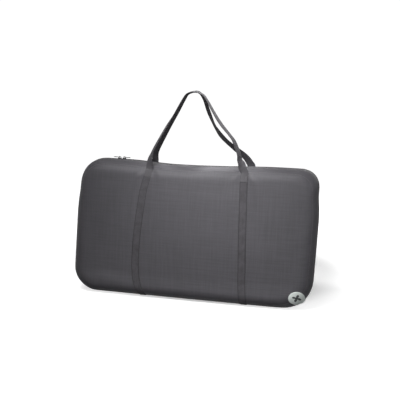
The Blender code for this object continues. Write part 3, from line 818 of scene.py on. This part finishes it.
def badge():
    """The round badge on the lower right corner, with a raised rim and a plain four-pointed star."""
    low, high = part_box("round_patch")
    cx, cz = (low.x + high.x) / 2 + 0.009, (low.z + high.z) / 2 - 0.016
    rings, turns = 26, 96
    r = np.linspace(0, 1, rings)
    a = np.linspace(0, 2 * math.pi, turns, endpoint=False)
    x = cx + BADGE_RADIUS * r[:, None] * np.cos(a)[None]
    z = cz + BADGE_RADIUS * r[:, None] * np.sin(a)[None]
    rim = hump(r, 0.93, 0.035) * 0.0005
    star = (np.abs(np.cos(a[None] * 2 + 0.9)) ** 1.5) * 0.40 + 0.14
    inside = 1 - smoothstep(star - 0.03, star + 0.03, r[:, None])
    lift = 0.0012 + rim[:, None] + 0.0003 * inside
    lift[-1] = 0.0003
    points = face(x, z, -1, lift)
    faces = grid_faces(rings, turns, wrap=True)
    indices = [int(inside[i, j] > 0.5) for i in range(rings - 1) for j in range(turns)]
    item = mesh_object("badge", points.reshape(-1, 3), faces, ["badge", "badge_mark"], indices)
    mesh = bmesh.new()
    mesh.from_mesh(item.data)
    bmesh.ops.remove_doubles(mesh, verts=mesh.verts, dist=1e-6)
    bmesh.ops.recalc_face_normals(mesh, faces=mesh.faces)
    total = sum(f.normal.y for f in mesh.faces)
    if total > 0:
        bmesh.ops.reverse_faces(mesh, faces=mesh.faces)
    mesh.to_mesh(item.data)
    mesh.free()
    return item


def rounded_block(name, outline, low, high, material, bevel):
    """A plate from an outline of (x, y) points between two heights, with rounded edges."""
    mesh = bmesh.new()
    ring_low = [mesh.verts.new((x, y, low)) for x, y in outline]
    bottom = mesh.faces.new(ring_low)
    made = bmesh.ops.extrude_face_region(mesh, geom=[bottom])
    top = [v for v in made["geom"] if isinstance(v, bmesh.types.BMVert)]
    bmesh.ops.translate(mesh, verts=top, vec=(0, 0, high - low))
    bmesh.ops.recalc_face_normals(mesh, faces=mesh.faces)
    data = bpy.data.meshes.new(name)
    mesh.to_mesh(data)
    mesh.free()
    data.materials.append(MATERIALS[material])
    item = add_to_scene(name, data)
    rounding = item.modifiers.new("Bevel", "BEVEL")
    rounding.width = bevel
    rounding.segments = 3
    rounding.limit_method = "ANGLE"
    data.shade_smooth()
    data.set_sharp_from_angle(angle=math.radians(40))
    return item


def tube(name, points, radius, material, closed=False, resolution=4):
    data = bpy.data.curves.new(name, "CURVE")
    data.dimensions = "3D"
    data.bevel_depth = radius
    data.bevel_resolution = resolution
    data.use_fill_caps = not closed
    spline = data.splines.new("POLY")
    spline.points.add(len(points) - 1)
    for target, point in zip(spline.points, points):
        target.co = (*point, 1.0)
    spline.use_cyclic_u = closed
    data.materials.append(MATERIALS[material])
    return add_to_scene(name, data)


def zip_slider(side_name, lies):
    """The slider body, with its nose, wings and bail, at its CAD place."""
    node = "zip_slider_" + side_name
    low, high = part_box(node)
    x = (low.x + high.x) / 2
    half_y = (high.y - low.y) / 2
    half_x = (high.x - low.x) / 2
    outline = []
    for i in range(20):
        turn = i / 20 * 2 * math.pi
        px = half_x * signed_power(math.cos(turn), 0.6)
        taper = 1 - 0.28 * (px * lies / half_x + 1) / 2
        py = half_y * taper * signed_power(math.sin(turn), 0.6)
        outline.append((x + px, py))
    body = rounded_block("slider_body_" + side_name, outline, low.z + 0.0002, low.z + 0.0028, "zip_metal",
                         0.0006)
    arch = []
    for i in range(15):
        turn = math.pi * i / 14
        arch.append((x - 0.0038 * math.cos(turn), 0.0, low.z + 0.0028 + 0.0046 * math.sin(turn) ** 0.7))
    bail = tube("slider_bail_" + side_name, arch, 0.0009, "zip_metal")
    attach(body, "slider_" + side_name)
    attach(bail, "slider_" + side_name)
    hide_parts(node)


def zip_pull(side_name, lies):
    """A ring through the bail with a knotted cord pull."""
    node = "zip_pull_" + side_name
    low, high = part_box(node)
    z = (low.z + high.z) / 2 - 0.0005
    near = low.x if lies > 0 else high.x
    loop = []
    for i in range(28):
        turn = 2 * math.pi * i / 28
        loop.append((near + lies * (0.0055 - 0.0050 * math.cos(turn)), 0.0030 * math.sin(turn), z))
    ring_item = tube("pull_ring_" + side_name, loop, 0.0007, "zip_metal", closed=True)
    outline = []
    for i in range(24):
        turn = i / 24 * 2 * math.pi
        px = TAB_HALF * signed_power(math.cos(turn), 0.45)
        py = 0.0030 * signed_power(math.sin(turn), 0.6) * (1 - 0.15 * px / TAB_HALF)
        outline.append((near + lies * (0.0095 + TAB_HALF + px), py))
    tab = rounded_block("pull_tab_" + side_name, outline, z - 0.0011, z + 0.0013, "pull", 0.0009)
    for piece in (ring_item, tab):
        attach(piece, "pull_" + side_name)
    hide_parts(node)


# -------- folded playpen

def wall(index):
    """One folded wall: its tube, the cloth stretched in it and the tape round the cloth."""
    low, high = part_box(f"wall_frame_{index}")
    y = (low.y + high.y) / 2
    tube_radius = (high.y - low.y) / 2
    cx, cz = (low.x + high.x) / 2, (low.z + high.z) / 2
    half_x, half_z = (high.x - low.x) / 2 - tube_radius, (high.z - low.z) / 2 - tube_radius

    def loop(inset, radius, steps):
        points = []
        for corner, (sx, sz) in enumerate(((1, 1), (-1, 1), (-1, -1), (1, -1))):
            for i in range(steps + 1):
                turn = (corner + i / steps) * math.pi / 2
                points.append((cx + sx * (half_x - inset - radius) + radius * math.cos(turn), y,
                               cz + sz * (half_z - inset - radius) + radius * math.sin(turn)))
        return points
    path = loop(0, TUBE_CORNER, 14)
    frame_tube = tube(f"tube_loop_{index}", path, tube_radius - 0.0001, "tube", closed=True)
    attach(frame_tube, "bag")
    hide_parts(f"wall_frame_{index}")
    tape_inset = tube_radius + TAPE_GAP
    tape = tube(f"wall_tape_{index}", loop(tape_inset, TAPE_CORNER, 12), TAPE_RADIUS, "binding", closed=True,
                resolution=2)
    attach(tape, "bag")
    columns, rows = (90, 50) if index == 1 else (30, 18)
    inner_x, inner_z = half_x - tube_radius - TAPE_GAP, half_z - tube_radius - TAPE_GAP
    u, v, s = square_grid(columns, rows)
    x, z = rounded_xz(u, v, inner_x * s, inner_z * s, TAPE_CORNER * s)
    slack = 0.0018 * value_noise(x, z, 0.07, 20 + index) * (1 - s ** 4)
    points = np.stack([cx + x, y + slack, cz + z], -1)
    cloth = mesh_object(f"wall_cloth_{index}", points.reshape(-1, 3), grid_faces(rows, columns), ["wall"])
    thicken(cloth, 0.0008, 0.0)
    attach(cloth, "bag")
    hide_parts(f"wall_fabric_{index}")


def floor_mat():
    """The quilted floor mat, folded in layers, in front of the walls."""
    low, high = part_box("floor_mat")
    back, front = high.y, low.y
    columns, rows = 110, 76
    u, v, s = square_grid(columns, rows)
    step = (back - front - 0.002) / MAT_LAYERS
    for layer in range(MAT_LAYERS):
        half_x = (high.x - low.x) / 2 - 0.001 - 0.002 * layer
        half_z = (high.z - low.z) / 2 - 0.001 - 0.0015 * (MAT_LAYERS - layer)
        x, z = rounded_xz(u, v, half_x * s, half_z * s, MAT_CORNER * s)
        quilt = np.abs(np.sin(math.pi * (x + z) / QUILT_STEP) * np.sin(math.pi * (x - z) / QUILT_STEP))
        edge = np.sqrt(np.clip(1 - s ** 8, 0, 1))
        puff = (0.55 + 0.45 * quilt ** 0.5) * edge
        middle = back - step * (layer + 0.5)
        half = step / 2 * 0.96
        front_points = np.stack([x, middle - half * puff, CENTRE_Z + z], -1).reshape(-1, 3)
        back_points = np.stack([x, middle + half * puff, CENTRE_Z + z], -1).reshape(-1, 3)
        vertices = np.vstack([front_points, back_points])
        faces = grid_faces(rows, columns) + grid_faces(rows, columns, flip=True, offset=rows * columns)
        item = mesh_object(f"mat_layer_{layer + 1}", vertices, faces, ["mat"])
        weld(item, 1e-5)
        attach(item, "bag")
    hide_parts("floor_mat")


# -------- stage

def place_light(name, data, place, target):
    """A light that the camera doesn't see, pointed at target."""
    item = add_to_scene(name, data)
    item.location = place
    item.visible_camera = False
    item.rotation_euler = (Vector(target) - item.location).to_track_quat("-Z", "Y").to_euler()


def area_light(name, place, target, size, power):
    data = bpy.data.lights.new(name, "AREA")
    data.shape = "RECTANGLE"
    data.size, data.size_y = size
    data.energy = power
    place_light(name, data, place, target)


def spot_light(name, place, target, angle, radius, power):
    """A soft spot whose pool fades all the way from its middle to its edge."""
    data = bpy.data.lights.new(name, "SPOT")
    data.spot_size = math.radians(angle)
    data.spot_blend = 1.0
    data.shadow_soft_size = radius
    data.energy = power
    place_light(name, data, place, target)


def camera():
    """The camera: a little to the right of the bag's front, a little above it, and slightly rolled."""
    azimuth, elevation, roll = math.radians(12.4), math.radians(10.0), math.radians(2.45)
    pan, tilt = math.radians(-0.35), math.radians(2.14)
    distance = 2.86
    data = bpy.data.cameras.new("camera")
    data.sensor_width = 36.0
    data.lens = 77.8
    item = add_to_scene("camera", data)
    target = Vector((0, 0, 0.22))
    back = Vector((math.sin(azimuth) * math.cos(elevation), -math.cos(azimuth) * math.cos(elevation),
                   math.sin(elevation)))
    item.location = target + back * distance
    look = (-back).to_track_quat("-Z", "Y")
    turn = look @ Matrix.Rotation(roll, 4, "Z").to_quaternion()
    turn = turn @ Matrix.Rotation(tilt, 4, "X").to_quaternion() @ Matrix.Rotation(pan, 4, "Y").to_quaternion()
    item.rotation_euler = turn.to_euler()
    bpy.context.scene.camera = item


def white_surface(name, mesh, colour, glow):
    """A stage surface: plain white, with some light of its own."""
    data = bpy.data.meshes.new(name)
    mesh.to_mesh(data)
    mesh.free()
    item = add_to_scene(name, data)
    material = bpy.data.materials.new(name)
    material.use_nodes = True
    shader = material.node_tree.nodes["Principled BSDF"]
    shader.inputs["Base Color"].default_value = (colour, colour, colour, 1)
    shader.inputs["Roughness"].default_value = 0.9
    shader.inputs["Specular IOR Level"].default_value = 0.0
    shader.inputs["Emission Color"].default_value = (1, 1, 1, 1)
    shader.inputs["Emission Strength"].default_value = glow
    data.materials.append(material)
    item.visible_diffuse = False
    item.visible_glossy = False
    return item


def floor_glow_painted_shadow(tree):
    """The floor's own glow with a painted shadow: weak in an oval behind the bag, which deepens the soft
    shadow the lamps cast there, and full further out.
    """
    place = tree.nodes.new("ShaderNodeTexCoord")
    oval = tree.nodes.new("ShaderNodeMapping")
    oval.inputs["Scale"].default_value = (1.0, PAINTED_SHADOW_OVAL, 1.0)
    reach = tree.nodes.new("ShaderNodeVectorMath")
    reach.operation = "DISTANCE"
    reach.inputs[1].default_value = (0.0, PAINTED_SHADOW_CENTRE_Y * PAINTED_SHADOW_OVAL, 0.0)
    # Painted shadow: the glow is weakest near the oval's centre behind the bag.
    glow = tree.nodes.new("ShaderNodeValToRGB")
    glow.color_ramp.interpolation = "EASE"
    glow.color_ramp.elements.new(0.5)
    for stop, (distance, strength) in zip(glow.color_ramp.elements, GLOW_STOPS):
        stop.position = distance
        stop.color = (strength, strength, strength, 1)
    tree.links.new(place.outputs["Object"], oval.inputs["Vector"])
    tree.links.new(oval.outputs["Vector"], reach.inputs[0])
    tree.links.new(reach.outputs["Value"], glow.inputs["Fac"])
    tree.links.new(glow.outputs["Color"], tree.nodes["Principled BSDF"].inputs["Emission Strength"])


def stage():
    mesh = bmesh.new()
    bmesh.ops.create_grid(mesh, x_segments=2, y_segments=2, size=STAGE_REACH)
    floor = white_surface("floor", mesh, 0.85, 1.0)
    floor.location = (0, 0, -0.0004)
    floor_glow_painted_shadow(floor.data.materials[0].node_tree)
    mesh = bmesh.new()
    bmesh.ops.create_uvsphere(mesh, u_segments=48, v_segments=24, radius=STAGE_REACH * 0.95)
    dome = white_surface("backdrop", mesh, 0.0, 1.05)
    dome.visible_shadow = False
    dome.visible_transmission = False
    world = bpy.data.worlds.new("studio")
    bpy.context.scene.world = world
    world.use_nodes = True
    nodes, links = world.node_tree.nodes, world.node_tree.links
    place = nodes.new("ShaderNodeTexCoord")
    split = nodes.new("ShaderNodeSeparateXYZ")
    ramp = nodes.new("ShaderNodeValToRGB")
    links.new(place.outputs["Generated"], split.inputs["Vector"])
    links.new(split.outputs["Z"], ramp.inputs["Fac"])
    stops = ramp.color_ramp.elements
    stops[0].position, stops[0].color = 0.0, (0.25, 0.25, 0.25, 1)
    stops[1].position, stops[1].color = 0.9, (0.6, 0.6, 0.6, 1)
    background = nodes["Background"]
    links.new(ramp.outputs["Color"], background.inputs["Color"])
    background.inputs["Strength"].default_value = 0.05
    spot_light("key", (-0.35, -1.2, 2.2), (0.07, -0.05, 0.45), 26, 0.25, 132)
    spot_light("fill", (0.30, -2.2, 1.1), (0.09, -0.05, 0.40), 25, 0.30, 100)
    spot_light("crest", (0.03, 0.22, 1.65), (0.03, -0.01, 0.43), 18, 0.10, 90)
    area_light("side", (1.3, -0.5, 0.5), (0.35, 0.0, 0.22), (0.6, 0.6), 3.0)
    area_light("corner", (1.6, -1.4, 0.8), (0.30, 0.0, 0.22), (0.6, 0.6), 1.5)
    area_light("wash", (-0.50, -1.15, 2.6), (-0.10, 0.0, 0.0), (1.6, 1.6), 42)
    area_light("behind", (0.2, 2.4, 1.3), (0.0, 0.0, 0.25), (1.8, 1.2), 13)
    area_light("bounce", (0.0, -0.9, 0.02), (0.0, -0.05, 0.10), (1.6, 0.5), 2.0)
    area_light("near", (0.0, -0.40, 0.005), (0.0, -0.05, 0.04), (1.2, 0.25), 0.36)
    bpy.context.scene.view_settings.view_transform = "Standard"
    bpy.context.scene.view_settings.look = "None"


# -------- the bag, piece by piece

def bend(item):
    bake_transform(item)


def build_bag():
    seam = ring_at(SEAM_Y)
    front = panel("front_cloth", -1, seam)
    bend(front)
    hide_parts("front_panel", "front_lower_panel")
    front_ring = gusset_ring("front_gusset_cloth", -1, seam)
    bend(front_ring)
    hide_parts("front_gusset")
    back = panel("back_cloth", 1, seam)
    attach(back, "bag")
    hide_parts("back_panel")
    back_ring = gusset_ring("back_gusset_cloth", 1, seam)
    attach(back_ring, "bag")
    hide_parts("back_gusset", "base_gusset")


def build_zip():
    for name, side in (("front", -1), ("back", 1)):
        tape = zip_tape("zip_cloth_" + name, side)
        teeth = zip_teeth("zip_teeth_" + name, side)
        for item, slot, node in ((tape, "zip_fabric", "zip_tape_"), (teeth, "zip_coil", "zip_coil_")):
            if side < 0:
                bend(item)
            else:
                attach(item, "bag")
            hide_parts(node + name)
    for name, lies in (("left", -1), ("right", 1)):
        zip_slider(name, lies)
        zip_pull(name, lies)


def build_webbing():
    top_lines = (0.4165, 0.402)
    for name, line, side in (("left", FRONT_LEFT_LINE, -1), ("right", FRONT_RIGHT_LINE, -1)):
        item = panel_strap("front_strap_" + name, line, side, 0.0042, 0.4215, top_lines)
        bend(item)
        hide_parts("front_strap_upper_" + name, "front_strap_lower_" + name)
    for name, line, side in (("left", BACK_LEFT_LINE, 1), ("right", BACK_RIGHT_LINE, 1)):
        item = panel_strap("back_strap_web_" + name, line, side, 0.0042, 0.4215, top_lines)
        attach(item, "bag")
        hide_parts("back_strap_" + name)
    for name, side, line, body, straps in (
            ("front", -1, FRONT_HANDLE, "front_flap", (FRONT_LEFT_LINE, FRONT_RIGHT_LINE)),
            ("back", 1, BACK_HANDLE, "bag", (BACK_LEFT_LINE, BACK_RIGHT_LINE))):
        item = handle(name + "_handle_web", side, line, straps)
        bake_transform(item)
        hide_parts(name + "_handle")


def build_inside():
    for index in range(1, 9):
        wall(index)
    for name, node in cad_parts.items():
        if name.startswith("hinge_clip"):
            node.data.materials.clear()
            node.data.materials.append(MATERIALS["clip"])
    floor_mat()


build_bag()
build_zip()
build_webbing()
item = badge()
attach(item, "bag")
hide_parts("round_patch")
build_inside()
stage()
camera()
